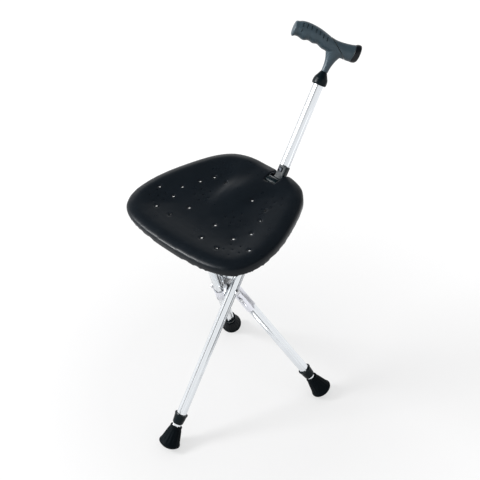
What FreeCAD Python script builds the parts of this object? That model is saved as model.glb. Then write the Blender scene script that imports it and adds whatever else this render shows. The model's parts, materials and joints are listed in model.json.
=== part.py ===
import FreeCAD, Part
import math
import os
import Sketcher

# Walking stick seat: a cane that opens into a three-legged stool.
# Millimetres, +Z up, origin on the floor below the hub where the three legs cross.
# The long main leg leans along +X and carries the handle; the seat lies over the hub.

DRIVING_SIZES = {
    # tripod
    "hub_height": 284.0,
    "hub_offset": 16.0,
    "leg_tilt": 34.0,
    "main_azimuth": 180.0,
    "rear_azimuth": 38.5,
    "right_azimuth": -54.0,
    # tubes
    "tube_diameter": 19.0,
    "tube_wall": 1.3,
    "lower_tube_gap": 0.08,
    "lower_tube_wall": 1.4,
    "lower_tube_length": 130.0,
    "main_tube_top": 413.0,
    "side_leg_top": 190.0,
    # feet and leg bushes
    "foot_dome_radius": 28.0,
    "foot_base_diameter": 42.0,
    "foot_neck_diameter": 23.5,
    "foot_rise": 20.6,
    "foot_neck_height": 3.0,
    "foot_lip_step": 1.0,
    "foot_lip": 4.0,
    "foot_socket_depth": 17.0,
    "foot_flat_depth": 0.5,
    "foot_band_gap": 5.4,
    "bush_length": 20.4,
    "bush_seat_depth": 12.4,
    "bush_diameter": 25.5,
    "bush_nose_diameter": 21.0,
    "expander_length": 16.0,
    "expander_stem_length": 18.0,
    "expander_stem_diameter": 9.0,
    # caps on the side legs
    "cap_diameter": 21.0,
    "cap_skirt": 16.0,
    "cap_gap": 0.05,
    # hub
    "hub_block_height": 30.0,
    "hub_block_diameter": 25.0,
    "hub_axle_diameter": 6.0,
    "axle_gap": 0.05,
    "washer_diameter": 13.0,
    "washer_thickness": 1.6,
    "side_gap": 0.3,
    "nut_diameter": 11.0,
    "nut_height": 4.5,
    # sleeves round the side legs below the hub
    "sleeve_wall": 1.1,
    "sleeve_gap": 0.05,
    "sleeve_top": 14.0,
    "sleeve_length": 64.0,
    "sleeve_screw_drop": 46.0,
    "sleeve_screw_diameter": 8.0,
    "sleeve_screw_height": 1.8,
    "sleeve_screw_shank": 3.5,
    # seat
    "seat_hinge_offset": 22.0,
    "seat_hinge_rise": 216.8,
    "seat_length": 263.0,
    "seat_width": 302.0,
    "seat_tilt": 4.8,
    "seat_edge_to_hinge": 28.0,
    "seat_plane_above_hinge": 8.5,
    "seat_side_offset": 22.4,
    "seat_depth": 16.0,
    "seat_plate": 3.0,
    "seat_rim_wall": 5.0,
    "seat_dish": 9.0,
    "seat_dish_reach": 45.0,
    "seat_ridge": 13.0,
    "seat_ridge_width": 21.0,
    "seat_ridge_reach": 165.0,
    "seat_ridge_fade": 80.0,
    "seat_rim_roll": 5.0,
    "seat_rim_roll_width": 22.0,
    "seat_hole_diameter": 6.5,
    "seat_dimple_diameter": 3.2,
    "seat_dimple_ring": 15.0,
    "seat_dimple_depth": 1.0,
    "seat_rib_wall": 3.0,
    "seat_pad_size": 24.0,
    "seat_pad_gap": 0.4,
    # hinge between the seat and the main tube
    "hinge_pin_diameter": 6.0,
    "lug_reach": 7.0,
    "lug_width": 23.0,
    "lug_low": 14.0,
    "lug_high": 9.0,
    "lug_tab_height": 33.0,
    "lug_tab_width": 16.0,
    "lug_shift": 3.0,
    "lug_play": 1.5,
    "lug_plate": 5.5,
    "lug_tab_drop": 30.0,
    "ear_wall": 7.0,
    "pin_head_diameter": 8.0,
    "pin_head_height": 2.0,
    "lug_screw_diameter": 7.5,
    "lug_screw_height": 1.8,
    "lug_screw_shank": 4.0,
    "lug_screw_side": 4.5,
    "clip_diameter": 8.5,
    "clip_thickness": 1.2,
    # handle
    "handle_yaw": 45.0,
    "handle_height": 40.0,
    "collar_height": 25.0,
    "collar_diameter": 26.5,
    "collar_bevel": 1.0,
    "collar_side_height": 7.0,
    "collar_flare": 2.6,
    "collar_neck_diameter": 11.0,
    "handle_neck_diameter": 11.0,
    "collar_overlap": 9.0,
    "stem_diameter": 7.0,
    "stem_plug_length": 40.0,
    "plug_gap": 0.1,
}

# Formula text and its present number, kept together so that sizes follow the sheet.


class Size:
    def __init__(self, text, number):
        self.text = text
        self.number = number

    def join(self, sign, other, number):
        return Size("(%s %s %s)" % (self.text, sign, other.text), number)

    def __add__(self, other):
        other = as_size(other)
        return self.join("+", other, self.number + other.number)

    def __radd__(self, other):
        return as_size(other) + self

    def __sub__(self, other):
        other = as_size(other)
        return self.join("-", other, self.number - other.number)

    def __rsub__(self, other):
        return as_size(other) - self

    def __mul__(self, other):
        other = as_size(other)
        return self.join("*", other, self.number * other.number)

    def __truediv__(self, other):
        other = as_size(other)
        return self.join("/", other, self.number / other.number)

    def __neg__(self):
        return Size("(0 - %s)" % self.text, -self.number)


def as_size(value):
    if isinstance(value, Size):
        return value
    return Size(repr(float(value)), float(value))


def root_of(value):
    return Size("sqrt(%s)" % value.text, math.sqrt(value.number))


def cosine(angle):
    return Size("cos(%s)" % angle.text, math.cos(math.radians(angle.number)))


def sine(angle):
    return Size("sin(%s)" % angle.text, math.sin(math.radians(angle.number)))


doc = FreeCAD.newDocument("walking_stick_seat")
sheet = doc.addObject("Spreadsheet::Sheet", "Sizes")
for row, (alias, number) in enumerate(DRIVING_SIZES.items(), start=1):
    sheet.set("A%d" % row, alias)
    sheet.set("B%d" % row, str(number))
    sheet.setAlias("B%d" % row, alias)
doc.recompute()


def size(alias):
    return Size("Sizes.%s" % alias, float(sheet.get(alias)))


def bind(item, **properties):
    for name, value in properties.items():
        value = as_size(value)
        path = name.replace("_at_", ".")
        item.setExpression(path, value.text)


def shift(item, place_x=0, place_y=0, place_z=0):
    """Binds the base of an item's placement to formulas."""
    for axis, value in (("x", place_x), ("y", place_y), ("z", place_z)):
        if as_size(value).number:
            item.setExpression("Placement.Base." + axis, as_size(value).text)


TURN_Z_TO_Y = FreeCAD.Rotation(FreeCAD.Vector(1, 0, 0), -90)
TURN_Z_TO_X = FreeCAD.Rotation(FreeCAD.Vector(0, 1, 0), 90)


def rod(name, radius, height, place=(0, 0, 0), turn=None):
    item = doc.addObject("Part::Cylinder", name)
    if turn is not None:
        item.Placement.Rotation = turn
    bind(item, Radius=radius, Height=height)
    shift(item, *place)
    return item


def block(name, length, width, height, place=(0, 0, 0)):
    item = doc.addObject("Part::Box", name)
    bind(item, Length=length, Width=width, Height=height)
    shift(item, *place)
    return item


def ball(name, radius, place=(0, 0, 0)):
    item = doc.addObject("Part::Sphere", name)
    bind(item, Radius=radius)
    shift(item, *place)
    return item


def cone(name, low_radius, high_radius, height, place=(0, 0, 0)):
    item = doc.addObject("Part::Cone", name)
    bind(item, Radius1=low_radius, Radius2=high_radius, Height=height)
    shift(item, *place)
    return item


def fuse(name, *items):
    item = doc.addObject("Part::MultiFuse", name)
    item.Shapes = list(items)
    item.Refine = True
    return item


def cut(name, base, *tools):
    item = doc.addObject("Part::Cut", name)
    item.Base = base
    item.Tool = tools[0] if len(tools) == 1 else fuse(name + "_tools", *tools)
    return item


def common(name, first, second):
    item = doc.addObject("Part::Common", name)
    item.Base = first
    item.Tool = second
    return item


def group(name, *items):
    item = doc.addObject("Part::Compound", name)
    item.Links = list(items)
    return item


def turned(name, outline):
    """A body turned about Z from the straight-sided outline through (radius, height) corners."""
    body = doc.addObject("PartDesign::Body", name)
    sketch = body.newObject("Sketcher::SketchObject", name + "_outline")
    plane = [feature for feature in body.Origin.OriginFeatures if feature.Role == "XZ_Plane"][0]
    sketch.AttachmentSupport = (plane, "")
    sketch.MapMode = "FlatFace"
    corners = [(as_size(radius), as_size(height)) for radius, height in outline]
    points = [FreeCAD.Vector(radius.number, height.number, 0) for radius, height in corners]
    last = len(points) - 1
    for index, point in enumerate(points):
        following = points[0] if index == last else points[index + 1]
        sketch.addGeometry(Part.LineSegment(point, following), False)
    for index in range(len(points)):
        following = 0 if index == last else index + 1
        sketch.addConstraint(Sketcher.Constraint("Coincident", index, 2, following, 1))
    for index, (radius, height) in enumerate(corners):
        across = sketch.addConstraint(Sketcher.Constraint("DistanceX", index, 1, radius.number))
        sketch.setExpression("Constraints[%d]" % across, radius.text)
        up = sketch.addConstraint(Sketcher.Constraint("DistanceY", index, 1, height.number))
        sketch.setExpression("Constraints[%d]" % up, height.text)
    revolution = body.newObject("PartDesign::Revolution", name + "_turn")
    revolution.Profile = sketch
    revolution.ReferenceAxis = (sketch, ["V_Axis"])
    revolution.Angle = 360.0
    return body


# Named sizes that several pieces share

tube_radius = size("tube_diameter") / 2
tube_bore = tube_radius - size("tube_wall")
lower_radius = tube_bore - size("lower_tube_gap")
leg_cosine = cosine(size("leg_tilt"))
dome_drop = (size("hub_height") - size("foot_dome_radius") + size("foot_flat_depth")) / leg_cosine
foot_top = size("foot_rise") - dome_drop
bush_low = foot_top + size("foot_band_gap")
tube_low = bush_low + size("bush_length") - size("bush_seat_depth")
lower_low = foot_top - size("foot_socket_depth")
sleeve_radius = tube_radius + size("sleeve_gap") + size("sleeve_wall")


def leg_place(azimuth):
    """The frame of a leg: its origin at the hub axle, Z up along the leg, Y out along the axle."""
    turn = FreeCAD.Rotation(FreeCAD.Vector(0, 0, 1), azimuth.number)
    lean = FreeCAD.Rotation(FreeCAD.Vector(0, 1, 0), -size("leg_tilt").number)
    out = turn.multVec(FreeCAD.Vector(0, size("hub_offset").number, 0))
    base = out + FreeCAD.Vector(0, 0, size("hub_height").number)
    return FreeCAD.Placement(base, turn * lean)


NODES = []


def keep(item, name, place=None):
    """Names a finished sub-part and sets it in the object's frame."""
    item.Label = name
    if place is not None:
        item.Placement = place.multiply(item.Placement)
    NODES.append(item)
    return item


# One leg: tube, bush, sliding lower tube with its expander, and the rubber foot


def leg_tube(name, top, place):
    whole = rod(name + "_outside", tube_radius, top - tube_low, (0, 0, tube_low))
    bore = rod(name + "_bore", tube_bore, top - tube_low + 2, (0, 0, tube_low - 1))
    axle_hole = rod(name + "_axle_hole", size("hub_axle_diameter") / 2 + size("axle_gap"),
                    size("tube_diameter") + 2, (0, -tube_radius - 1, 0), TURN_Z_TO_Y)
    keep(cut(name, whole, bore, axle_hole), name, place)


def leg_bush(name, place):
    bore = lower_radius + size("axle_gap")
    socket = tube_radius + size("sleeve_gap")
    top = bush_low + size("bush_length")
    outer = size("bush_diameter") / 2
    waist = outer - 0.9
    keep(turned(name, [
        (bore, bush_low),
        (size("bush_nose_diameter") / 2 - 1, bush_low),
        (size("bush_nose_diameter") / 2, bush_low + 2),
        (waist, top - 4),
        (outer, top - 1.2),
        (outer, top),
        (socket, top),
        (socket, tube_low),
        (bore, tube_low),
    ]), name, place)


def lower_leg(prefix, place):
    inner = lower_radius - size("lower_tube_wall")
    length = size("lower_tube_length")
    whole = rod(prefix + "_lower_outside", lower_radius, length, (0, 0, lower_low))
    bore = rod(prefix + "_lower_bore", inner, length + 2, (0, 0, lower_low - 1))
    keep(cut(prefix + "_lower_tube", whole, bore), prefix + "_lower_tube", place)
    top = lower_low + length
    stem = size("expander_stem_diameter") / 2
    keep(turned(prefix + "_expander", [
        (0, top - size("expander_stem_length")),
        (stem, top - size("expander_stem_length")),
        (stem, top),
        (lower_radius - 0.6, top),
        (lower_radius, top + 2),
        (lower_radius, top + size("expander_length") - 4),
        (lower_radius - 2.5, top + size("expander_length")),
        (0, top + size("expander_length")),
    ]), prefix + "_expander", place)
    keep(rubber_foot(prefix + "_foot"), prefix + "_foot", place)


def rubber_foot(name):
    """A bell with a domed sole, cut flat where it stands on the floor."""
    dome = size("foot_dome_radius")
    base = size("foot_base_diameter") / 2
    neck = size("foot_neck_diameter") / 2
    ring_drop = root_of(dome * dome - base * base)
    lip_top = -ring_drop + size("foot_lip")
    rise = size("foot_rise")
    neck_low = rise - size("foot_neck_height")
    sole = common(name + "_sole", ball(name + "_dome", dome), rod(name + "_rim", base, dome, (0, 0, -dome)))
    sole = cut(name + "_low_sole", sole, rod(name + "_above", base + 1, dome, (0, 0, lip_top)))
    flare = cone(name + "_flare", base - size("foot_lip_step"), neck - size("foot_lip_step") / 2,
                 neck_low - lip_top, (0, 0, lip_top))
    top = rod(name + "_neck", neck, size("foot_neck_height"), (0, 0, neck_low))
    whole = fuse(name + "_whole", sole, flare, top)
    socket = rod(name + "_socket", lower_radius, size("foot_socket_depth") + 1,
                 (0, 0, rise - size("foot_socket_depth")))
    floor = block(name + "_floor", dome * 2, dome * 2, dome, (-dome, -dome, 0))
    floor.Placement.Rotation = FreeCAD.Rotation(FreeCAD.Vector(0, 1, 0), size("leg_tilt").number)
    sole_depth = dome - size("foot_flat_depth") + dome
    shift(floor, -dome * leg_cosine - sole_depth * sine(size("leg_tilt")), -dome,
          dome * sine(size("leg_tilt")) - sole_depth * leg_cosine)
    foot = cut(name, whole, socket, floor)
    foot.Placement.Base = FreeCAD.Vector(0, 0, -dome_drop.number)
    return foot


def leg_cap(name, place):
    """A black cap with a domed top, pushed over the upper end of a side leg."""
    radius = size("cap_diameter") / 2
    top = size("side_leg_top")
    centre = top - radius
    skirt_low = centre - size("cap_skirt")
    whole = fuse(name + "_whole", ball(name + "_dome", radius, (0, 0, centre)),
                 rod(name + "_skirt", radius, size("cap_skirt"), (0, 0, skirt_low)))
    trim = rod(name + "_trim", radius + 1, radius * 2, (0, 0, skirt_low - radius * 2))
    socket = rod(name + "_socket", tube_radius + size("cap_gap"), size("cap_skirt") + 1, (0, 0, skirt_low - 1))
    keep(cut(name, whole, trim, socket), name, place)


def leg_sleeve(prefix, place):
    """The reinforcing sleeve just below the hub, with the screw that holds it to the tube."""
    low = -(size("sleeve_top") + size("sleeve_length"))
    length = size("sleeve_length")
    whole = rod(prefix + "_sleeve_outside", sleeve_radius, length, (0, 0, low))
    bore = rod(prefix + "_sleeve_bore", tube_radius + size("sleeve_gap"), length + 2, (0, 0, low - 1))
    scallop = rod(prefix + "_sleeve_scallop", tube_radius * 0.8, size("tube_diameter") * 2,
                  (-size("tube_diameter"), 0, low - 2), TURN_Z_TO_X)
    hole = rod(prefix + "_sleeve_hole", size("sleeve_screw_shank") / 2, size("tube_diameter") * 2,
               (0, -size("tube_diameter"), -size("sleeve_screw_drop")), TURN_Z_TO_Y)
    sleeve = cut(prefix + "_sleeve", whole, bore, scallop, hole)
    keep(sleeve, prefix + "_sleeve", place)
    head_at = -sleeve_radius - size("sleeve_screw_height")
    head = rod(prefix + "_screw_head", size("sleeve_screw_diameter") / 2, size("sleeve_screw_height"),
               (0, head_at, -size("sleeve_screw_drop")), TURN_Z_TO_Y)
    drive = rod(prefix + "_screw_drive", size("sleeve_screw_shank") / 2 - 0.3, 1,
                (0, head_at - 0.1, -size("sleeve_screw_drop")), TURN_Z_TO_Y)
    shank = rod(prefix + "_screw_shank", size("sleeve_screw_shank") / 2 - size("axle_gap"),
                size("sleeve_wall") + size("sleeve_gap"),
                (0, -sleeve_radius - size("sleeve_gap"), -size("sleeve_screw_drop")), TURN_Z_TO_Y)
    keep(cut(prefix + "_sleeve_screw", fuse(prefix + "_screw_whole", head, shank), drive),
         prefix + "_sleeve_screw", place)


main_place = leg_place(size("main_azimuth"))
rear_place = leg_place(size("rear_azimuth"))
right_place = leg_place(size("right_azimuth"))
leg_tube("main_tube", size("main_tube_top"), main_place)
for prefix, place in (("main", main_place), ("rear", rear_place), ("right", right_place)):
    leg_bush(prefix + "_bush", place)
    lower_leg(prefix, place)
cap_top = size("side_leg_top") - size("cap_diameter") / 2
for prefix, place in (("rear", rear_place), ("right", right_place)):
    leg_tube(prefix + "_tube", cap_top, place)
    leg_cap(prefix + "_top_cap", place)
    leg_sleeve(prefix, place)


# Hub: a block between the three legs with an axle for each, washers and cap nuts


def outward(azimuth):
    """The direction of a leg's axle, square to the way its foot points."""
    return FreeCAD.Rotation(FreeCAD.Vector(0, 0, 1), azimuth.number + 90).multVec(FreeCAD.Vector(1, 0, 0))


def on_axle(item, azimuth, distance):
    """Stands a piece that was made along Z on a leg's axle, at a distance from the hub's centre."""
    direction = outward(azimuth)
    turn = FreeCAD.Rotation(FreeCAD.Vector(0, 0, 1), direction)
    base = direction * distance.number + FreeCAD.Vector(0, 0, size("hub_height").number)
    item.Placement = FreeCAD.Placement(base, turn)
    return item


hub_legs = (("main", size("main_azimuth")), ("rear", size("rear_azimuth")), ("right", size("right_azimuth")))
hub_face = size("hub_offset") - tube_radius - size("side_gap") - size("washer_thickness")
axle_end = size("hub_offset") + tube_radius + size("side_gap") + size("nut_height") - 1
hub_block = rod("hub_round", size("hub_block_diameter") / 2, size("hub_block_height"),
                (0, 0, size("hub_height") - size("hub_block_height") / 2))
flats = []
axles = []
washers = []
nuts = []
for prefix, azimuth in hub_legs:
    flat = block(prefix + "_hub_flat", size("hub_block_diameter") * 2, size("hub_block_diameter") * 2,
                 size("hub_block_height") * 2)
    turn = FreeCAD.Rotation(FreeCAD.Vector(0, 0, 1), azimuth.number + 90)
    reach = FreeCAD.Vector(hub_face.number, -size("hub_block_diameter").number, 0)
    base = turn.multVec(reach) + FreeCAD.Vector(0, 0, (size("hub_height") - size("hub_block_height")).number)
    flat.Placement = FreeCAD.Placement(base, turn)
    flats.append(flat)
    axle = rod(prefix + "_axle", size("hub_axle_diameter") / 2, axle_end)
    axles.append(on_axle(axle, azimuth, as_size(0)))
    washer = cut(prefix + "_washer",
                 rod(prefix + "_washer_disc", size("washer_diameter") / 2, size("washer_thickness")),
                 rod(prefix + "_washer_hole", size("hub_axle_diameter") / 2, size("washer_thickness") * 3,
                     (0, 0, -size("washer_thickness"))))
    washers.append(on_axle(washer, azimuth, hub_face))
    nut_face = size("hub_offset") + tube_radius + size("side_gap")
    nut_body = fuse(prefix + "_nut_body",
                    rod(prefix + "_nut_ring", size("nut_diameter") / 2, size("nut_height") / 2),
                    cone(prefix + "_nut_crown", size("nut_diameter") / 2, size("nut_diameter") / 3,
                         size("nut_height") / 2, (0, 0, size("nut_height") / 2)))
    nut = cut(prefix + "_nut", nut_body,
              rod(prefix + "_nut_hole", size("hub_axle_diameter") / 2, size("nut_height"), (0, 0, -1)))
    nuts.append(on_axle(nut, azimuth, nut_face))
keep(fuse("hub_spider", cut("hub_core", hub_block, *flats), *axles), "hub_spider")
keep(group("hub_washers", *washers), "hub_washers")
keep(group("hub_nuts", *nuts), "hub_nuts")


# Hinge lug on the main tube, in the main leg's frame: X towards the seat, Y towards the front

hinge_across = size("seat_hinge_offset")
hinge_rise = size("seat_hinge_rise")
lug_side = -size("lug_width") / 2 + size("lug_shift")
lug_face = tube_radius + size("lug_plate")
lug_inside = 3
lug_body = fuse(
    "lug_body",
    block("lug_root", hinge_across - lug_inside, size("lug_width"), size("lug_low") + size("lug_high"),
          (lug_inside, lug_side, hinge_rise - size("lug_low"))),
    block("lug_tab", lug_face - lug_inside, size("lug_tab_width"), size("lug_tab_height") + size("lug_tab_drop"),
          (lug_inside, lug_side + size("lug_width") - size("lug_tab_width"), hinge_rise - size("lug_tab_drop"))),
    rod("lug_knuckle", size("lug_reach"), size("lug_width"), (hinge_across, lug_side, hinge_rise), TURN_Z_TO_Y))
screw_rises = (hinge_rise + size("lug_tab_height") - 8, hinge_rise - size("lug_tab_drop") + 8)
screw_holes = [rod("lug_screw_hole_%d" % number, size("lug_screw_shank") / 2 + size("axle_gap"), lug_face * 2,
                   (0, size("lug_screw_side"), rise), TURN_Z_TO_X) for number, rise in enumerate(screw_rises)]
pin_hole_radius = size("hinge_pin_diameter") / 2 + size("axle_gap")
lug = cut("seat_lug", lug_body,
          rod("lug_saddle", tube_radius + size("sleeve_gap"), hinge_rise, (0, 0, hinge_rise / 2)),
          rod("lug_pin_hole", pin_hole_radius, size("lug_width") * 2,
              (hinge_across, -size("lug_width"), hinge_rise), TURN_Z_TO_Y),
          *screw_holes)
keep(lug, "seat_lug", main_place)
lug_screws = []
for number, rise in enumerate(screw_rises):
    head = rod("lug_screw_head_%d" % number, size("lug_screw_diameter") / 2, size("lug_screw_height"),
               (lug_face, size("lug_screw_side"), rise), TURN_Z_TO_X)
    shank = rod("lug_screw_shank_%d" % number, size("lug_screw_shank") / 2, size("lug_plate") - 0.5,
                (lug_face - size("lug_plate") + 1, size("lug_screw_side"), rise), TURN_Z_TO_X)
    lug_screws.append(fuse("lug_screw_%d" % number, head, shank))
keep(group("lug_screws", *lug_screws), "lug_screws", main_place)


# Seat, in a frame on the hinge pin: X towards the wide end, Y to the front, Z up off the seat

# Outline of half the seat: share of its length from the narrow end, share of its half width
SEAT_OUTLINE = (
    (0.0, 0.0), (0.003, 0.17), (0.012, 0.34), (0.03, 0.46), (0.06, 0.565), (0.095, 0.63), (0.13, 0.685),
    (0.19, 0.75), (0.265, 0.812), (0.36, 0.878), (0.455, 0.935), (0.56, 0.98), (0.67, 1.0), (0.75, 0.993),
    (0.83, 0.95), (0.89, 0.885), (0.935, 0.78), (0.968, 0.63), (0.988, 0.43), (0.997, 0.22), (1.0, 0.0),
)
# Centres of the drain holes and of the dimple clusters
SEAT_HOLES = (
    (81.0, -75.0), (57.0, -63.0), (112.0, -89.0), (142.0, -41.0), (55.0, -36.0), (140.0, -118.0),
    (139.0, -84.0), (178.0, -86.0), (178.0, -51.0), (61.0, 34.0), (92.0, 82.0), (146.0, 27.0),
    (186.0, 35.0), (152.0, 76.0), (126.0, 93.0), (160.0, 121.0), (190.0, 74.0), (67.0, 71.0),
)
SEAT_CLUSTERS = (
    (31.0, -61.0), (103.0, -46.0), (158.0, -103.0), (112.0, 39.0), (43.0, 71.0), (175.0, 97.0),
)

seat_length = size("seat_length").number
seat_half_width = size("seat_width").number / 2
seat_edge = -size("seat_edge_to_hinge").number
seat_high = size("seat_plane_above_hinge").number


def seat_outline(inset=0.0):
    half = [(seat_edge + along * seat_length, across * seat_half_width) for along, across in SEAT_OUTLINE]
    corners = half + [(along, -across) for along, across in reversed(half[1:-1])]
    if not inset:
        return corners
    moved = []
    for index, (along, across) in enumerate(corners):
        before = corners[index - 1]
        after = corners[(index + 1) % len(corners)]
        run, rise = after[0] - before[0], after[1] - before[1]
        length = math.hypot(run, rise)
        moved.append((along + rise / length * inset, across - run / length * inset))
    return moved


OUTLINE_CORNERS = seat_outline()


def rim_distance(along, across):
    """Distance of a point from the seat's outline, below zero outside it."""
    nearest = 1000.0
    inside = False
    for index, (start_x, start_y) in enumerate(OUTLINE_CORNERS):
        end_x, end_y = OUTLINE_CORNERS[(index + 1) % len(OUTLINE_CORNERS)]
        run, rise = end_x - start_x, end_y - start_y
        share = ((along - start_x) * run + (across - start_y) * rise) / (run * run + rise * rise)
        share = min(1.0, max(0.0, share))
        nearest = min(nearest, math.hypot(start_x + run * share - along, start_y + rise * share - across))
        if (start_y > across) != (end_y > across) and along < start_x + (across - start_y) * run / rise:
            inside = not inside
    return nearest if inside else -nearest


def seat_top(along, across):
    """Height of the seat's upper face: two dished lobes, a ridge between them and a rolled rim."""
    rim = rim_distance(along, across)
    roll_width = size("seat_rim_roll_width").number
    high = seat_high
    if rim < roll_width:
        high -= size("seat_rim_roll").number * (1 - max(rim, -roll_width) / roll_width) ** 2
    inner = max(rim - roll_width / 2, 0.0) / size("seat_dish_reach").number
    high -= size("seat_dish").number * (1 - math.exp(-inner ** 2))
    fade = (size("seat_ridge_reach").number - (along - seat_edge)) / size("seat_ridge_fade").number
    fade = min(1.0, max(0.0, fade))
    fade = fade * fade * (3 - 2 * fade)
    spread = math.exp(-(across / size("seat_ridge_width").number) ** 2)
    return high + size("seat_ridge").number * spread * fade


def prism(corners, low, high):
    """An upright solid inside a closed smooth outline."""
    curve = Part.BSplineCurve()
    curve.interpolate(Points=[FreeCAD.Vector(x, y, low) for x, y in corners], PeriodicFlag=True)
    face = Part.Face(Part.Wire([curve.toShape()]))
    return face.extrude(FreeCAD.Vector(0, 0, high - low))


def seat_slab(drop, depth):
    """The layer from a distance below the upper face down to a further depth."""
    margin = 10.0
    step_x = (seat_length + 2 * margin) / 40
    step_y = (2 * seat_half_width + 2 * margin) / 44
    rows = []
    for row in range(41):
        along = seat_edge - margin + row * step_x
        line = []
        for column in range(45):
            across = -seat_half_width - margin + column * step_y
            line.append(FreeCAD.Vector(along, across, seat_top(along, across) - drop))
        rows.append(line)
    surface = Part.BSplineSurface()
    surface.interpolate(rows)
    return surface.toShape().extrude(FreeCAD.Vector(0, 0, -depth))


def box(low_x, high_x, low_y, high_y, low_z, high_z):
    return Part.makeBox(high_x - low_x, high_y - low_y, high_z - low_z, FreeCAD.Vector(low_x, low_y, low_z))


plate = size("seat_plate").number
depth = size("seat_depth").number
rim_wall = size("seat_rim_wall").number
ear_wall = size("ear_wall").number
far = 60.0
notch_middle = size("seat_side_offset").number + size("lug_shift").number
notch_half = size("lug_width").number / 2 + size("lug_play").number
notch_low = notch_middle - notch_half
notch_high = notch_middle + notch_half
notch_end = size("lug_reach").number + 2
skin = seat_slab(0.0, depth).common(prism(seat_outline(), -far, far))
cavity = seat_slab(plate, far).common(prism(seat_outline(rim_wall), -far, far))
solid_parts = [box(seat_edge - 5, notch_end + rim_wall, notch_low - ear_wall, notch_high + ear_wall, -far, far)]
rib = size("seat_rib_wall").number / 2
for along in (45.0, 102.0, 168.0, 207.0):
    solid_parts.append(box(along - rib, along + rib, -seat_half_width, seat_half_width, -far, far))
for across in (-103.0, -20.0, 55.0, 107.0):
    solid_parts.append(box(notch_end, seat_length, across - rib, across + rib, -far, far))
shell = skin.cut(cavity.cut(solid_parts))

notch = box(seat_edge - 20, notch_end, notch_low, notch_high, -far, far)
pin_hole = Part.makeCylinder(pin_hole_radius.number, far * 2, FreeCAD.Vector(0, notch_middle - far, 0),
                             FreeCAD.Vector(0, 1, 0))
drains = [Part.makeCylinder(size("seat_hole_diameter").number / 2, 2 * far, FreeCAD.Vector(x, y, -far))
          for x, y in SEAT_HOLES]
dimples = []
for middle_x, middle_y in SEAT_CLUSTERS:
    spots = [(middle_x, middle_y)]
    for number in range(5):
        angle = math.radians(72 * number + 18)
        spots.append((middle_x + size("seat_dimple_ring").number * math.cos(angle),
                      middle_y + size("seat_dimple_ring").number * math.sin(angle)))
    for x, y in spots:
        low = seat_top(x, y) - size("seat_dimple_depth").number
        dimples.append(Part.makeCylinder(size("seat_dimple_diameter").number / 2, 12, FreeCAD.Vector(x, y, low)))
shell = shell.cut([notch, pin_hole] + drains + dimples)

# Pads that come down to the caps of the two side legs
hinge_point = main_place.multVec(FreeCAD.Vector(hinge_across.number, 0, hinge_rise.number))
seat_turn = FreeCAD.Rotation(FreeCAD.Vector(0, 0, 1), size("main_azimuth").number).multiply(
    FreeCAD.Rotation(FreeCAD.Vector(0, 1, 0), size("seat_tilt").number))
seat_place = FreeCAD.Placement(
    hinge_point + FreeCAD.Vector(0, size("seat_side_offset").number, 0), seat_turn)
pad_half = size("seat_pad_size").number / 2
under_plate = seat_slab(plate / 2, far)
cap_radius = size("cap_diameter").number / 2
for place in (rear_place, right_place):
    dome = place.multVec(FreeCAD.Vector(0, 0, cap_top.number))
    dome = seat_place.inverse().multVec(dome)
    low = dome.z + cap_radius + size("seat_pad_gap").number
    pad = box(dome.x - pad_half, dome.x + pad_half, dome.y - pad_half, dome.y + pad_half, low, 0)
    shell = shell.fuse(pad.common(under_plate))

seat_shell = doc.addObject("Part::Feature", "seat_shell")
seat_shell.Shape = shell
keep(seat_shell, "seat_shell", seat_place)

pin_low = notch_low - ear_wall
pin_high = notch_high + ear_wall
pin_length = pin_high - pin_low + size("clip_thickness").number * 2
hinge_pin = fuse("hinge_pin",
                 rod("pin_shank", size("hinge_pin_diameter") / 2, as_size(pin_length),
                     (0, as_size(pin_low) - size("clip_thickness") * 2, 0), TURN_Z_TO_Y),
                 rod("pin_head", size("pin_head_diameter") / 2, size("pin_head_height"),
                     (0, as_size(pin_high), 0), TURN_Z_TO_Y))
keep(hinge_pin, "hinge_pin", seat_place)
clip_at = as_size(pin_low) - size("clip_thickness")
keep(cut("pin_clip",
         rod("clip_ring", size("clip_diameter") / 2, size("clip_thickness"), (0, clip_at, 0), TURN_Z_TO_Y),
         rod("clip_hole", size("hinge_pin_diameter") / 2, size("clip_thickness") * 3,
             (0, clip_at - size("clip_thickness"), 0), TURN_Z_TO_Y)), "pin_clip", seat_place)


# Handle, in a frame on the main tube's axis: X along the long arm, Z up the shaft

tube_end = size("main_tube_top")
collar_low = tube_end - size("collar_overlap")
collar_top = collar_low + size("collar_height")
stem_radius = size("stem_diameter") / 2
keep(turned("handle_collar", [
    (tube_radius + size("sleeve_gap"), collar_low),
    (size("collar_diameter") / 2 - size("collar_bevel"), collar_low),
    (size("collar_diameter") / 2, collar_low + size("collar_bevel") * 2),
    (size("collar_diameter") / 2, collar_low + size("collar_side_height")),
    (size("collar_diameter") / 2 - size("collar_bevel"), collar_low + size("collar_side_height") + 5),
    (size("collar_neck_diameter") / 2 + size("collar_flare"), collar_top - size("collar_flare") * 2),
    (size("collar_neck_diameter") / 2, collar_top),
    (stem_radius, collar_top),
    (stem_radius, tube_end),
    (tube_radius + size("sleeve_gap"), tube_end),
]), "handle_collar", main_place)
handle_rise = collar_top + size("handle_height")
plug_radius = tube_bore - size("plug_gap")
keep(turned("handle_stem", [
    (0, tube_end - size("stem_plug_length")),
    (plug_radius, tube_end - size("stem_plug_length")),
    (plug_radius, tube_end),
    (stem_radius, tube_end),
    (stem_radius, handle_rise - 2),
    (0, handle_rise - 2),
]), "handle_stem", main_place)

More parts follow.
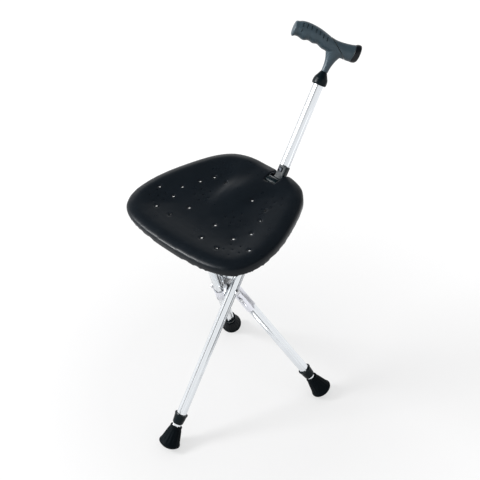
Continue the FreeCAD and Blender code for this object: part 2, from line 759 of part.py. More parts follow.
# Stations of the handle: distance along the long arm, centre height, height and width
GRIP_STATIONS = (
    (79.5, 10.0, 20.0, 20.0), (78.0, 10.0, 26.0, 25.0), (68.0, 11.8, 30.4, 29.0), (46.0, 12.4, 29.8, 30.0),
    (27.0, 10.5, 27.8, 28.5), (10.0, 7.0, 26.4, 26.5), (-14.0, 4.8, 27.2, 26.0),
)
END_STATIONS = ((-14.0, 4.8, 27.2, 26.0), (-26.0, 5.8, 29.4, 27.5), (-37.0, 7.4, 33.2, 29.5))
END_CAP_STATIONS = ((-37.0, 7.4, 33.2, 29.5), (-43.5, 8.6, 33.0, 29.0), (-46.5, 9.0, 26.0, 22.0))
# Stations of the neck: height, size along the long arm and across it
NECK_STATIONS = ((-17.0, 20.0, 17.0), (-8.0, 27.0, 20.0), (4.0, 36.0, 22.0))


def oval(middle, first, second):
    points = []
    for number in range(16):
        angle = math.radians(22.5 * number)
        points.append(middle + first * math.cos(angle) + second * math.sin(angle))
    curve = Part.BSplineCurve()
    curve.interpolate(Points=points, PeriodicFlag=True)
    return Part.Wire([curve.toShape()])


def arm(stations):
    rings = [oval(FreeCAD.Vector(along, 0, middle), FreeCAD.Vector(0, width / 2, 0),
                  FreeCAD.Vector(0, 0, height / 2)) for along, middle, height, width in stations]
    return Part.makeLoft(rings, True, False)


neck_radius = size("handle_neck_diameter").number / 2
neck_rings = [oval(FreeCAD.Vector(0, 0, -size("handle_height").number), FreeCAD.Vector(neck_radius, 0, 0),
                   FreeCAD.Vector(0, neck_radius, 0)),
              oval(FreeCAD.Vector(0, 0, -size("handle_height").number * 0.7),
                   FreeCAD.Vector(neck_radius + 0.5, 0, 0), FreeCAD.Vector(0, neck_radius + 0.5, 0))]
for middle, along, across in NECK_STATIONS:
    neck_rings.append(oval(FreeCAD.Vector(0, 0, middle), FreeCAD.Vector(along / 2, 0, 0),
                           FreeCAD.Vector(0, across / 2, 0)))
neck = Part.makeLoft(neck_rings, True, False)
stem_hole = Part.makeCylinder(stem_radius.number, size("handle_height").number, FreeCAD.Vector(
    0, 0, -size("handle_height").number - 2))
handle_place = main_place.multiply(FreeCAD.Placement(
    FreeCAD.Vector(0, 0, handle_rise.number), FreeCAD.Rotation(FreeCAD.Vector(0, 0, 1), -size("handle_yaw").number)))
end_piece = arm(END_STATIONS)
grip = arm(GRIP_STATIONS).fuse(neck).cut([stem_hole, end_piece])
for name, shape in (("handle_grip", grip), ("handle_end_piece", end_piece),
                    ("handle_end_cap", arm(END_CAP_STATIONS))):
    piece = doc.addObject("Part::Feature", name)
    piece.Shape = shape
    keep(piece, name, handle_place)


# Checks, then one file for each sub-part

doc.recompute()
for item in doc.Objects:
    if "Invalid" in item.State or "Error" in item.State:
        raise RuntimeError("%s is not sound: %s" % (item.Label, item.State))
os.makedirs("parts", exist_ok=True)
for item in NODES:
    if item.Shape.isNull() or not item.Shape.isValid() or not item.Shape.Solids:
        raise RuntimeError("%s has no sound shape" % item.Label)
    item.Shape.exportStep(os.path.join("parts", item.Label + ".step"))
    print(item.Label, len(item.Shape.Solids), round(item.Shape.Volume / 1000, 2),
          [round(value) for value in (item.Shape.BoundBox.XMin, item.Shape.BoundBox.XMax, item.Shape.BoundBox.YMin,
                                      item.Shape.BoundBox.YMax, item.Shape.BoundBox.ZMin, item.Shape.BoundBox.ZMax)])
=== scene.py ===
import json
import math

import bpy
from mathutils import Matrix, Vector

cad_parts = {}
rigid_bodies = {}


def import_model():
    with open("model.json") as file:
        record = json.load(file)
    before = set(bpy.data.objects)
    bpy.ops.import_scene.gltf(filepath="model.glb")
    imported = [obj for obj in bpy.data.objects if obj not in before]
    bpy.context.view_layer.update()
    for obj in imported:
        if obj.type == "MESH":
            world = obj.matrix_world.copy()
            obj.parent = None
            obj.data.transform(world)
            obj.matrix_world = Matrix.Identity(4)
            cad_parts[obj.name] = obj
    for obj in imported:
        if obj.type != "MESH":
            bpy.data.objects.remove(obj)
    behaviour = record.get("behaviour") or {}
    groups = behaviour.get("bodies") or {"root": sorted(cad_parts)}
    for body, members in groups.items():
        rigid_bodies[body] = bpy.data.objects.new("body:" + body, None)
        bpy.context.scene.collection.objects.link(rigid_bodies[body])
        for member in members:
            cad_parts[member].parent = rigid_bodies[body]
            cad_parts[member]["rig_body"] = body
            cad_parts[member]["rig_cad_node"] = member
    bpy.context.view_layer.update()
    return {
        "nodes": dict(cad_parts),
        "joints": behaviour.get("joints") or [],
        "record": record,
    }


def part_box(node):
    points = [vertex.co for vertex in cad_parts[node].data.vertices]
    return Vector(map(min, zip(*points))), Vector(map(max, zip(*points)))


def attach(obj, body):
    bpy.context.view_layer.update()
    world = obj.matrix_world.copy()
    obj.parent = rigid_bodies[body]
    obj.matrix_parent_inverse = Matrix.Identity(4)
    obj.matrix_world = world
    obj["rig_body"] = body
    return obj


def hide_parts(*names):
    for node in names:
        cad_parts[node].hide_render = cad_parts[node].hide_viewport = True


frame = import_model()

bl_info = {
    "name": "Walking Stick Seat",
    "version": (1, 0, 0),
    "blender": (4, 5, 0),
    "location": "View3D > Sidebar > Stick Seat",
    "description": "Dresses a walking stick that opens into a three-legged seat",
    "category": "Object",
}

MM = 0.001
WHITE = (1.0, 1.0, 1.0, 1.0)

# Which leg stands at which angle round the hub, in degrees, and which legs have a sleeve below it
LEG_AZIMUTHS = {"main": 180.0, "rear": 38.5, "right": -54.0}
SLEEVED_LEGS = ("rear", "right")

BODY_OF = {node: body for body, nodes in frame["record"]["behaviour"]["bodies"].items() for node in nodes}


# Sizes and colours


def joint_place(name):
    """Where one of the frame's hinges is."""
    return next(joint["pos_m"] for joint in frame["joints"] if joint["name"] == name)


def length(text, metres):
    """A size in metres that the user can change."""
    return bpy.props.FloatProperty(name=text, description=text + " on the open stick seat", default=metres,
                                   min=0.0, precision=4, unit="LENGTH")


def angle(text, degrees):
    """An angle that the user can change."""
    return bpy.props.FloatProperty(name=text, description=text + " on the open stick seat",
                                   default=math.radians(degrees), subtype="ANGLE", unit="ROTATION")


def colour(text, red, green, blue):
    """A colour that the user can change."""
    return bpy.props.FloatVectorProperty(name=text, description=text + ", base colour", subtype="COLOR",
                                         size=4, min=0.0, max=1.0, default=(red, green, blue, 1.0))


class StickSeatSizes(bpy.types.PropertyGroup):
    hub_height: length("Hub height", joint_place("hub_fold")[2])
    hub_offset: length("Leg offset from the hub's centre", 0.016)
    leg_tilt: angle("Leg tilt from upright", 34.0)
    lower_tube: length("Sliding tube radius", 0.0081)
    foot_dome: length("Foot sole radius", 0.028)
    foot_base: length("Foot base radius", 0.021)
    foot_neck: length("Foot neck radius", 0.01175)
    foot_rise: length("Foot top above the sole's centre", 0.0206)
    foot_flat: length("Foot flattening at the floor", 0.0005)
    seat_offset: length("Seat middle from its hinge", 0.0224)
    seat_tilt: angle("Seat tilt", 4.8)
    rim_width: length("Soft rim width", 0.016)
    drain_width: length("Seat drain hole width", 0.0052)
    dimple_width: length("Seat dimple width", 0.0032)
    handle_rise: length("Handle height along the stick", 0.469)
    handle_turn: angle("Long arm's turn round the stick", 45.0)
    seam_gap: length("Handle seam width", 0.0013)


class StickSeatColours(bpy.types.PropertyGroup):
    seat: colour("Seat plastic", 0.0055, 0.0085, 0.0120)
    handle: colour("Handle plastic", 0.040, 0.068, 0.088)
    cap: colour("Handle end cap", 0.004, 0.006, 0.009)
    fitting: colour("Fittings plastic", 0.003, 0.008, 0.011)
    rubber: colour("Rubber", 0.0032, 0.0055, 0.0075)
    tube: colour("Polished tube", 0.775, 0.805, 0.835)
    sleeve: colour("Satin sleeve", 0.80, 0.81, 0.87)
    steel: colour("Plated steel", 0.70, 0.71, 0.73)
    dark_steel: colour("Blackened steel", 0.02, 0.022, 0.026)


def sizes():
    return bpy.context.scene.stick_seat_sizes


def colours():
    return bpy.context.scene.stick_seat_colours


# Materials


class NodeTree:
    """The nodes of a material or of the studio, added one by one and joined by name."""

    def __init__(self, tree):
        self.nodes, self.links = tree.nodes, tree.links

    def add(self, kind, **values):
        """A new node, with its sockets and settings given by name."""
        node = self.nodes.new(kind)
        for key, value in values.items():
            if key in node.inputs:
                node.inputs[key].default_value = value
            else:
                setattr(node, key, value)
        return node

    def join(self, source, node, socket):
        """Feeds a socket from another node's output, or sets a plain number there."""
        if isinstance(source, float):
            node.inputs[socket].default_value = source
        else:
            self.links.new(source, node.inputs[socket])

    def ramp(self, source, low, high, start, end):
        """Turns low to high into start to end, and holds those beyond."""
        node = self.add("ShaderNodeMapRange")
        for socket, value in (("From Min", low), ("From Max", high), ("To Min", start), ("To Max", end)):
            node.inputs[socket].default_value = value
        self.join(source, node, "Value")
        return node.outputs["Result"]

    def reckon(self, operation, first, second):
        """The sum, product or other outcome of two values."""
        node = self.add("ShaderNodeMath", operation=operation)
        self.join(first, node, 0)
        self.join(second, node, 1)
        return node.outputs[0]

    def choose(self, picker, without, chosen):
        """The chosen value where the picker is 1, and the other where it is 0."""
        # For numbers, a mix has its two values on sockets 2 and 3
        node = self.add("ShaderNodeMix", data_type="FLOAT")
        self.join(picker, node, 0)
        self.join(without, node, 2)
        self.join(chosen, node, 3)
        return node.outputs[0]


class Recipe(NodeTree):
    """A material made up from patterns, which lie along the piece where its turn is given."""

    def __init__(self, name, turned=None):
        self.material = bpy.data.materials.new(name)
        self.material.use_nodes = True
        super().__init__(self.material.node_tree)
        self.shader = self.nodes["Principled BSDF"]
        self.place = self.add("ShaderNodeTexCoord").outputs["Object"]
        self.turned = turned or Matrix.Identity(4)

    def noise(self, scale, detail, stretch=(1.0, 1.0, 1.0)):
        """A pattern in the piece's own directions, drawn out by the stretch."""
        mapping = self.add("ShaderNodeMapping", vector_type="TEXTURE")
        mapping.inputs["Location"].default_value = self.turned.to_translation()
        mapping.inputs["Rotation"].default_value = self.turned.to_euler()
        mapping.inputs["Scale"].default_value = stretch
        self.join(self.place, mapping, "Vector")
        node = self.add("ShaderNodeTexNoise", Scale=scale, Detail=detail)
        self.join(mapping.outputs["Vector"], node, "Vector")
        return node.outputs["Fac"]

    def roughen(self, pattern, low, high):
        """Lets the roughness go from low to high with the middle part of a pattern's range."""
        self.join(self.ramp(pattern, 0.3, 0.7, low, high), self.shader, "Roughness")

    def shade(self, base, pattern, low, high):
        """Lets the base colour go from low to high times itself with a pattern."""
        # For colours, a mix has its two values on sockets 6 and 7 and gives the result on 2
        mix = self.add("ShaderNodeMix", data_type="RGBA")
        for socket, share in ((6, low), (7, high)):
            mix.inputs[socket].default_value = [min(1.0, channel * share) for channel in base[:3]] + [1.0]
        self.join(pattern, mix, "Factor")
        self.join(mix.outputs[2], self.shader, "Base Color")

    def bump(self, pattern, strength, distance):
        node = self.add("ShaderNodeBump", Strength=strength, Distance=distance)
        self.join(pattern, node, "Height")
        self.join(node.outputs["Normal"], self.shader, "Normal")

    def set(self, **values):
        """Sets the shader's own sockets, whose names have a space for each underscore."""
        for key, value in values.items():
            self.shader.inputs[key.replace("_", " ")].default_value = value


def metal(name, base, rough, grain, turned=None):
    """Bright or satin metal with fine lines drawn along the piece and faint handling marks."""
    drawn_out = (1.0, 1.0, 60.0)
    recipe = Recipe(name, turned)
    recipe.set(Metallic=1.0)
    recipe.shade(base, recipe.noise(scale=38.0, detail=4.0), low=0.95, high=1.03)
    recipe.roughen(recipe.noise(scale=2600.0, detail=2.0, stretch=drawn_out), *rough)
    recipe.bump(recipe.noise(grain, detail=1.0, stretch=drawn_out), strength=0.012, distance=0.1 * MM)
    return recipe.material


def plastic(name, base, rough, grain, depth, gloss):
    """Moulded plastic with a fine etched grain and faint rubbed patches."""
    recipe = Recipe(name)
    recipe.set(Specular_IOR_Level=gloss)
    recipe.shade(base, recipe.noise(scale=26.0, detail=4.0), low=0.85, high=1.2)
    recipe.roughen(recipe.noise(scale=60.0, detail=5.0), *rough)
    recipe.bump(recipe.noise(grain, detail=2.0), strength=depth, distance=0.2 * MM)
    return recipe.material


# Each plastic's colour, material, range of roughness, fineness and depth of its grain, and gloss
PLASTICS = (
    ("seat", "seat_plastic", (0.27, 0.35), 1500.0, 0.14, 0.17),
    ("handle", "handle_plastic", (0.36, 0.46), 1300.0, 0.20, 0.45),
    ("cap", "handle_cap_plastic", (0.30, 0.40), 1300.0, 0.15, 0.25),
    ("fitting", "fitting_plastic", (0.26, 0.36), 1400.0, 0.10, 0.11),
    ("rubber", "foot_rubber", (0.50, 0.62), 900.0, 0.25, 0.04),
)
MATERIALS = {}


class STICKSEAT_OT_finishes(bpy.types.Operator):
    """Make the finishes: polished and satin metal, plated steel, plastics and rubber"""
    bl_idname = "stickseat.finishes"
    bl_label = "Finishes"

    def execute(self, context):
        shades = colours()
        for finish, name, rough, grain, depth, gloss in PLASTICS:
            MATERIALS[finish] = plastic(name, getattr(shades, finish), rough, grain, depth, gloss)
        MATERIALS["steel"] = metal("plated_steel", shades.steel, (0.36, 0.46), 600.0)
        MATERIALS["dark_steel"] = metal("blackened_steel", shades.dark_steel, (0.30, 0.40), 600.0)
        for leg in LEG_AZIMUTHS:
            MATERIALS[leg + "_tube"] = metal(leg + "_polished_tube", shades.tube, (0.09, 0.14), 1800.0,
                                             leg_frame(leg))
        for leg in SLEEVED_LEGS:
            MATERIALS[leg + "_sleeve"] = metal(leg + "_satin_sleeve", shades.sleeve, (0.26, 0.34), 1400.0,
                                               leg_frame(leg))
        return {"FINISHED"}


# Modelling helpers


def clear_selection():
    for other in bpy.context.selected_objects:
        other.select_set(False)


def only(piece):
    """Makes one object the selected and active one."""
    clear_selection()
    piece.hide_set(False)
    piece.select_set(True)
    bpy.context.view_layer.objects.active = piece


def ring_piece(name, rings, along_x=False, vertices=32):
    """A closed skin pulled through rings: each ring is (centre, first half size, second half size)."""
    clear_selection()
    turn = math.radians(90.0) if along_x else 0.0
    bpy.ops.mesh.primitive_circle_add(vertices=vertices, radius=1.0, fill_type="NGON",
                                      rotation=(0.0, turn, 0.0))
    piece = bpy.context.object
    piece.name = name
    bpy.ops.object.transform_apply(location=False, rotation=True, scale=False)

    def stretch(first, second):
        return (1.0, first, second) if along_x else (first, second, 1.0)

    before = rings[0]
    centre, first, second = before
    bpy.ops.object.mode_set(mode="EDIT")
    bpy.ops.mesh.select_all(action="SELECT")
    bpy.ops.transform.resize(value=stretch(first, second), center_override=(0.0, 0.0, 0.0))
    bpy.ops.transform.translate(value=centre)
    for ring in rings[1:]:
        centre, first, second = ring
        step = Vector(centre) - Vector(before[0])
        bpy.ops.mesh.extrude_region_move(TRANSFORM_OT_translate={"value": step})
        bpy.ops.transform.resize(value=stretch(first / before[1], second / before[2]), center_override=centre)
        before = ring
    bpy.ops.mesh.select_all(action="SELECT")
    bpy.ops.mesh.normals_make_consistent(inside=False)
    bpy.ops.mesh.select_all(action="DESELECT")
    bpy.ops.object.mode_set(mode="OBJECT")
    return piece


def apply_modifier(piece, kind, **values):
    only(piece)
    modifier = piece.modifiers.new(kind.title(), kind)
    for key, value in values.items():
        setattr(modifier, key, value)
    bpy.ops.object.modifier_apply(modifier=modifier.name)


def subdivide(piece, levels):
    apply_modifier(piece, "SUBSURF", levels=levels, render_levels=levels)


def combine(piece, tool, operation):
    """Joins a tool to a piece or cuts it out, and removes the tool."""
    apply_modifier(piece, "BOOLEAN", operation=operation, object=tool, solver="EXACT")
    bpy.data.objects.remove(tool)


def soften(piece, voxel, passes):
    """Rebuilds a piece in even small faces and rounds its edges, as moulded plastic has them."""
    apply_modifier(piece, "REMESH", mode="VOXEL", voxel_size=voxel, use_smooth_shade=True)
    apply_modifier(piece, "SMOOTH", factor=0.5, iterations=passes)


def trim(piece, point, normal):
    """Cuts a piece along a plane, keeps the side that the normal points to and closes the cut."""
    only(piece)
    bpy.ops.object.mode_set(mode="EDIT")
    bpy.ops.mesh.select_all(action="SELECT")
    # With the usual threshold, corners a tenth of a millimetre beyond the plane would stay
    bpy.ops.mesh.bisect(plane_co=point, plane_no=normal, use_fill=True, clear_inner=True, threshold=0.000001)
    bpy.ops.object.mode_set(mode="OBJECT")


def settle(piece, place):
    """Moves a finished mesh to its place, with the object itself at the origin."""
    only(piece)
    piece.matrix_world = place
    bpy.context.view_layer.update()
    bpy.ops.object.transform_apply(location=True, rotation=True, scale=True)


def finish_piece(piece, node, finish, edge=40.0):
    """Smooths a piece up to an edge angle, gives it its finish and puts it in its CAD node's stead."""
    only(piece)
    bpy.ops.object.shade_smooth_by_angle(angle=math.radians(edge))
    piece.data.materials.clear()
    piece.data.materials.append(MATERIALS[finish])
    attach(piece, BODY_OF[node])
    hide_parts(node)


def merged_copy(node, name):
    """A copy of a CAD node with its corners joined, to round and smooth."""
    piece = frame["nodes"][node].copy()
    piece.data = piece.data.copy()
    piece.name = name
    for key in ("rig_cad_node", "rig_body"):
        if key in piece:
            del piece[key]
    bpy.context.scene.collection.objects.link(piece)
    piece.parent = None
    only(piece)
    bpy.ops.object.mode_set(mode="EDIT")
    bpy.ops.mesh.select_all(action="SELECT")
    bpy.ops.mesh.remove_doubles(threshold=0.00001)
    bpy.ops.object.mode_set(mode="OBJECT")
    return piece


def leg_frame(leg):
    """The leg's frame: origin at its hub axle, Z up the leg, Y out along the axle."""
    turn = Matrix.Rotation(math.radians(LEG_AZIMUTHS[leg]), 4, "Z")
    out = turn @ Vector((0.0, sizes().hub_offset, 0.0))
    lift = Matrix.Translation(out + Vector((0.0, 0.0, sizes().hub_height)))
    return lift @ turn @ Matrix.Rotation(-sizes().leg_tilt, 4, "Y")


def handle_frame():
    """The handle's frame: origin on the stick's axis, X along the long arm, Z up the stick."""
    rise = Matrix.Translation((0.0, 0.0, sizes().handle_rise))
    return leg_frame("main") @ rise @ Matrix.Rotation(-sizes().handle_turn, 4, "Z")


# Pieces that keep the shape of their CAD nodes


class STICKSEAT_OT_tubes(bpy.types.Operator):
    """Finish the legs' tubes, the sliding tubes and the sleeves"""
    bl_idname = "stickseat.tubes"
    bl_label = "Tubes and Sleeves"

    def execute(self, context):
        for leg in LEG_AZIMUTHS:
            for part in ("tube", "lower_tube"):
                node = "%s_%s" % (leg, part)
                finish_piece(merged_copy(node, node + "_skin"), node, leg + "_tube", edge=35.0)
            if leg in SLEEVED_LEGS:
                node = leg + "_sleeve"
                finish_piece(merged_copy(node, node + "_skin"), node, node, edge=35.0)
        return {"FINISHED"}


class STICKSEAT_OT_hardware(bpy.types.Operator):
    """Finish the hub, washers, nuts, screws, pin and handle stem"""
    bl_idname = "stickseat.hardware"
    bl_label = "Hub and Hardware"

    def execute(self, context):
        for node in ("hub_spider", "hub_washers", "hub_nuts", "rear_sleeve_screw", "right_sleeve_screw",
                     "lug_screws", "hinge_pin", "pin_clip", "handle_stem"):
            finish = "dark_steel" if node == "lug_screws" else "steel"
            finish_piece(merged_copy(node, node + "_skin"), node, finish, edge=30.0)
        return {"FINISHED"}


class STICKSEAT_OT_fittings(bpy.types.Operator):
    """Finish the black bushes, leg caps, seat lug, collar and inner plugs, easing the collar's and lug's
    edges
    """
    bl_idname = "stickseat.fittings"
    bl_label = "Plastic Fittings"

    def execute(self, context):
        for node in ("main_bush", "rear_bush", "right_bush", "rear_top_cap", "right_top_cap",
                     "main_expander", "rear_expander", "right_expander", "seat_lug", "handle_collar"):
            piece = merged_copy(node, node + "_skin")
            if node == "handle_collar":
                soften(piece, voxel=0.0007, passes=6)
            if node == "seat_lug":
                apply_modifier(piece, "BEVEL", width=0.0006, segments=2, limit_method="ANGLE",
                               angle_limit=math.radians(40.0))
            finish_piece(piece, node, "fitting")
        return {"FINISHED"}


# Seat. All places on it are in millimetres along the seat from its hinge, across it and up through it.

# Centres of the drain holes and of the dimple clusters
DRAINS = (
    (81.0, -75.0), (57.0, -63.0), (112.0, -89.0), (142.0, -41.0), (55.0, -36.0), (140.0, -118.0),
    (139.0, -84.0), (178.0, -86.0), (178.0, -51.0), (61.0, 34.0), (92.0, 82.0), (146.0, 27.0),
    (186.0, 35.0), (152.0, 76.0), (126.0, 93.0), (160.0, 121.0), (190.0, 74.0), (67.0, 71.0),
)
CLUSTERS = ((31.0, -61.0), (103.0, -46.0), (158.0, -103.0), (112.0, 39.0), (43.0, 71.0), (175.0, 97.0))
# A cluster is a dimple with a ring of them round it: how many, how far out, and where the first is in degrees
RING_COUNT, RING_RADIUS, RING_START = 5, 15.0, 18.0
# A collar narrows each drain hole: its radius, and its lower and upper end from the seat's upper face
COLLAR_RADIUS, COLLAR_ENDS = 4.6, (-3.5, -0.5)
# The lower ends of the cuts for holes and dimples, and the upper end of both
DRAIN_DEPTH, DIMPLE_DEPTH, CUT_TOP = -12.0, -1.3, 4.0
# What the ridge loses at the hinge and at its crest, and its flanks gain: how much, and how wide across
HINGE_LOSS, CREST_LOSS, FLANK_GAIN = (9.0, 32.0), (10.0, 21.0), (5.0, 48.0)
# How far along the seat the first, and the other two, have faded out, and over which length
HINGE_END, RIDGE_END, FADE = 60.0, 140.0, 80.0
# The corner whose wall is thinned from below: its place, the reach of the change and how much
THIN_CORNER, THIN_REACH, THIN_LIFT = (190.0, -100.0), 70.0, 5.5
# The ridge's change sets in upward from a height over a length, and the corner's downward
UPPER_SIDE, UNDERSIDE = (-4.0, 10.0), (1.0, 9.0)
# Smoothing draws the seat in, so it is stretched along again by this much from its middle
SEAT_MIDDLE, SEAT_STRETCH = 103.5, 1.011


def eased(value):
    """Rises softly from 0 to 1."""
    value = min(1.0, max(0.0, value))
    return value * value * (3.0 - 2.0 * value)


def bell(across, height, width):
    """Falls off softly to both sides."""
    return height * math.exp(-(across / width) ** 2)


class STICKSEAT_OT_seat(bpy.types.Operator):
    """Model the saddle seat's rolled rim, low ridge, drain holes and dimples"""
    bl_idname = "stickseat.seat"
    bl_label = "Seat"

    def execute(self, context):
        piece = merged_copy("seat_shell", "seat_skin")
        soften(piece, voxel=0.0019, passes=2)
        self.mark_rim(piece)
        apply_modifier(piece, "SMOOTH", factor=0.5, iterations=30, vertex_group="rim")
        piece.vertex_groups.clear()
        place = self.seat_frame()
        self.settle_ridge(piece, place)
        collars, cuts = self.hole_tools(piece, place)
        combine(piece, collars, "UNION")
        combine(piece, cuts, "DIFFERENCE")
        finish_piece(piece, "seat_shell", "seat", edge=60.0)
        return {"FINISHED"}

    def seat_frame(self):
        """The seat's frame: origin on its hinge pin, X along the seat, Z up through it."""
        turn = Matrix.Rotation(math.radians(180.0), 4, "Z") @ Matrix.Rotation(sizes().seat_tilt, 4, "Y")
        hinge = Vector(joint_place("seat_lift"))
        return Matrix.Translation(hinge + Vector((0.0, sizes().seat_offset, 0.0))) @ turn

    def mark_rim(self, piece):
        """Groups the corners near the seat's outline, with full weight on the outer half of the rim."""
        low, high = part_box("seat_shell")
        middle = (low + high) / 2
        sectors = 180
        places = []
        reach = [0.0] * sectors
        for vertex in piece.data.vertices:
            offset = vertex.co - middle
            sector = int((math.atan2(offset.y, offset.x) / math.tau + 0.5) * sectors) % sectors
            distance = math.hypot(offset.x, offset.y)
            reach[sector] = max(reach[sector], distance)
            places.append((vertex.index, sector, distance))
        group = piece.vertex_groups.new(name="rim")
        half = sizes().rim_width / 2
        for index, sector, distance in places:
            weight = 2.0 - (reach[sector] - distance) / half
            if weight > 0.0:
                group.add([index], min(1.0, weight), "REPLACE")

    def settle_ridge(self, piece, place):
        """Lowers and broadens the ridge, thins the wall at one corner and makes up for the smoothing."""
        inward = place.inverted()
        for vertex in piece.data.vertices:
            along, across, rise = inward @ vertex.co / MM
            low = bell(across, *HINGE_LOSS) * eased((HINGE_END - along) / FADE)
            broader = bell(across, *CREST_LOSS) - bell(across, *FLANK_GAIN)
            low = low + broader * eased((RIDGE_END - along) / FADE)
            low = low * eased((rise - UPPER_SIDE[0]) / UPPER_SIDE[1])
            away = (along - THIN_CORNER[0]) ** 2 + (across - THIN_CORNER[1]) ** 2
            lift = THIN_LIFT * math.exp(-away / THIN_REACH ** 2) * eased((UNDERSIDE[0] - rise) / UNDERSIDE[1])
            stretched = SEAT_MIDDLE + (along - SEAT_MIDDLE) * SEAT_STRETCH
            vertex.co = place @ (Vector((stretched, across, rise - low + lift)) * MM)

    def hole_tools(self, piece, place):
        """The collars that narrow the drain holes from below, and all that is cut from above."""
        dimples = []
        for along, across in CLUSTERS:
            dimples.append((along, across))
            for number in range(RING_COUNT):
                turn = math.radians(360.0 / RING_COUNT * number + RING_START)
                dimples.append((along + RING_RADIUS * math.cos(turn), across + RING_RADIUS * math.sin(turn)))
        drain, dimple = sizes().drain_width / 2, sizes().dimple_width / 2
        collars = [self.post(piece, place, spot, COLLAR_RADIUS * MM, *COLLAR_ENDS) for spot in DRAINS]
        cuts = [self.post(piece, place, spot, drain, DRAIN_DEPTH, CUT_TOP) for spot in DRAINS]
        cuts += [self.post(piece, place, spot, dimple, DIMPLE_DEPTH, CUT_TOP) for spot in dimples]
        return self.joined(collars), self.joined(cuts)

    def post(self, piece, place, spot, radius, low, high):
        """A short round post at a spot of the seat, its ends measured from the seat's upper face."""
        along, across = spot
        down = (place.to_3x3() @ Vector((0.0, 0.0, -1.0))).normalized()
        inward = place.inverted()
        above, beside = 60.0, 6.0
        rises = []
        # The CAD shell has its drain holes already, so the face is also sought beside them
        for step in (0.0, beside, -beside):
            start = place @ (Vector((along + step, across, above)) * MM)
            hit, where, _, _ = piece.ray_cast(start, down)
            if hit:
                rises.append((inward @ where).z)
        if not rises:
            raise RuntimeError("no seat below the spot %s" % (spot,))
        low, high = low * MM, high * MM
        clear_selection()
        bpy.ops.mesh.primitive_cylinder_add(vertices=20, radius=radius, depth=high - low)
        tool = bpy.context.object
        settle(tool, place @ Matrix.Translation((along * MM, across * MM, max(rises) + (low + high) / 2)))
        return tool

    def joined(self, tools):
        clear_selection()
        for tool in tools:
            tool.select_set(True)
        bpy.context.view_layer.objects.active = tools[0]
        bpy.ops.object.join()
        return tools[0]


# Feet

FLUTES = 16
FLUTE_PULL = 0.93


class STICKSEAT_OT_feet(bpy.types.Operator):
    """Model the fluted rubber feet with their domed soles"""
    bl_idname = "stickseat.feet"
    bl_label = "Rubber Feet"

    def execute(self, context):
        for leg in LEG_AZIMUTHS:
            finish_piece(self.foot(leg), leg + "_foot", "rubber", edge=50.0)
        return {"FINISHED"}

    def foot(self, leg):
        """One foot, made upright round the sole's centre, set on its leg and flattened at the floor."""
        dome, base, neck, top = sizes().foot_dome, sizes().foot_base, sizes().foot_neck, sizes().foot_rise
        rim = -math.sqrt(dome * dome - base * base)
        lip_top, flare_top = rim + 4 * MM, top - 3 * MM
        outline = self.socket_and_collar(top, flare_top, neck)
        outline += self.flare_and_lip(flare_top, lip_top, rim, neck, base)
        outline += self.sole(dome, math.asin((base - 1.6 * MM) / dome))
        rings = [((0.0, 0.0, rise), radius, radius) for rise, radius in outline]
        piece = ring_piece(leg + "_foot_skin", rings, vertices=4 * FLUTES)
        self.flute(piece, lip_top + 2 * MM, flare_top - 1 * MM)
        subdivide(piece, 1)
        drop = (sizes().hub_height - dome + sizes().foot_flat) / math.cos(sizes().leg_tilt)
        settle(piece, leg_frame(leg) @ Matrix.Translation((0.0, 0.0, -drop)))
        trim(piece, (0.0, 0.0, 0.0), (0.0, 0.0, 1.0))
        return piece

    def socket_and_collar(self, top, flare_top, neck):
        """The foot's outline from the socket's bottom up, over the top edge and down the collar."""
        socket = sizes().lower_tube
        return [(top - 16 * MM, socket), (top - 0.5 * MM, socket), (top, socket + 0.6 * MM),
                (top, neck - 0.8 * MM), (top - 0.8 * MM, neck), (flare_top + 0.6 * MM, neck),
                (flare_top - 0.6 * MM, neck - 0.6 * MM)]

    def flare_and_lip(self, flare_top, lip_top, rim, neck, base):
        """The outline down the cone and round the lip."""
        wide, steps = base - 1.2 * MM, 7
        cone = [(flare_top + (lip_top - flare_top) * (step / steps), neck + (wide - neck) * (step / steps))
                for step in range(1, steps)]
        return cone + [(lip_top + 1.2 * MM, wide), (lip_top, base - 0.5 * MM), (lip_top - 1.0 * MM, base),
                       (rim + 0.9 * MM, base), (rim - 0.4 * MM, base - 0.5 * MM)]

    def sole(self, dome, edge):
        """The outline over the domed sole, from its edge angle to a small ring at the bottom."""
        steps = 6
        turns = [edge * (1 - step / steps) for step in range(steps)]
        return [(-dome * math.cos(turn), dome * math.sin(turn)) for turn in turns] + [(-dome, 1.5 * MM)]

    def flute(self, piece, low, high):
        """Pulls in every fourth line of corners, which leaves grooves down the cone."""
        for vertex in piece.data.vertices:
            line = round(math.atan2(vertex.co.y, vertex.co.x) / math.tau * 4 * FLUTES)
            wall = math.hypot(vertex.co.x, vertex.co.y) > sizes().lower_tube + 1 * MM
            vertex.select = wall and line % 4 == 0 and low < vertex.co.z < high
        only(piece)
        bpy.ops.object.mode_set(mode="EDIT")
        bpy.ops.transform.resize(value=(FLUTE_PULL, FLUTE_PULL, 1.0), center_override=(0.0, 0.0, 0.0))
        bpy.ops.mesh.select_all(action="DESELECT")
        bpy.ops.object.mode_set(mode="OBJECT")


# Handle. All its numbers are in millimetres in the handle's frame.

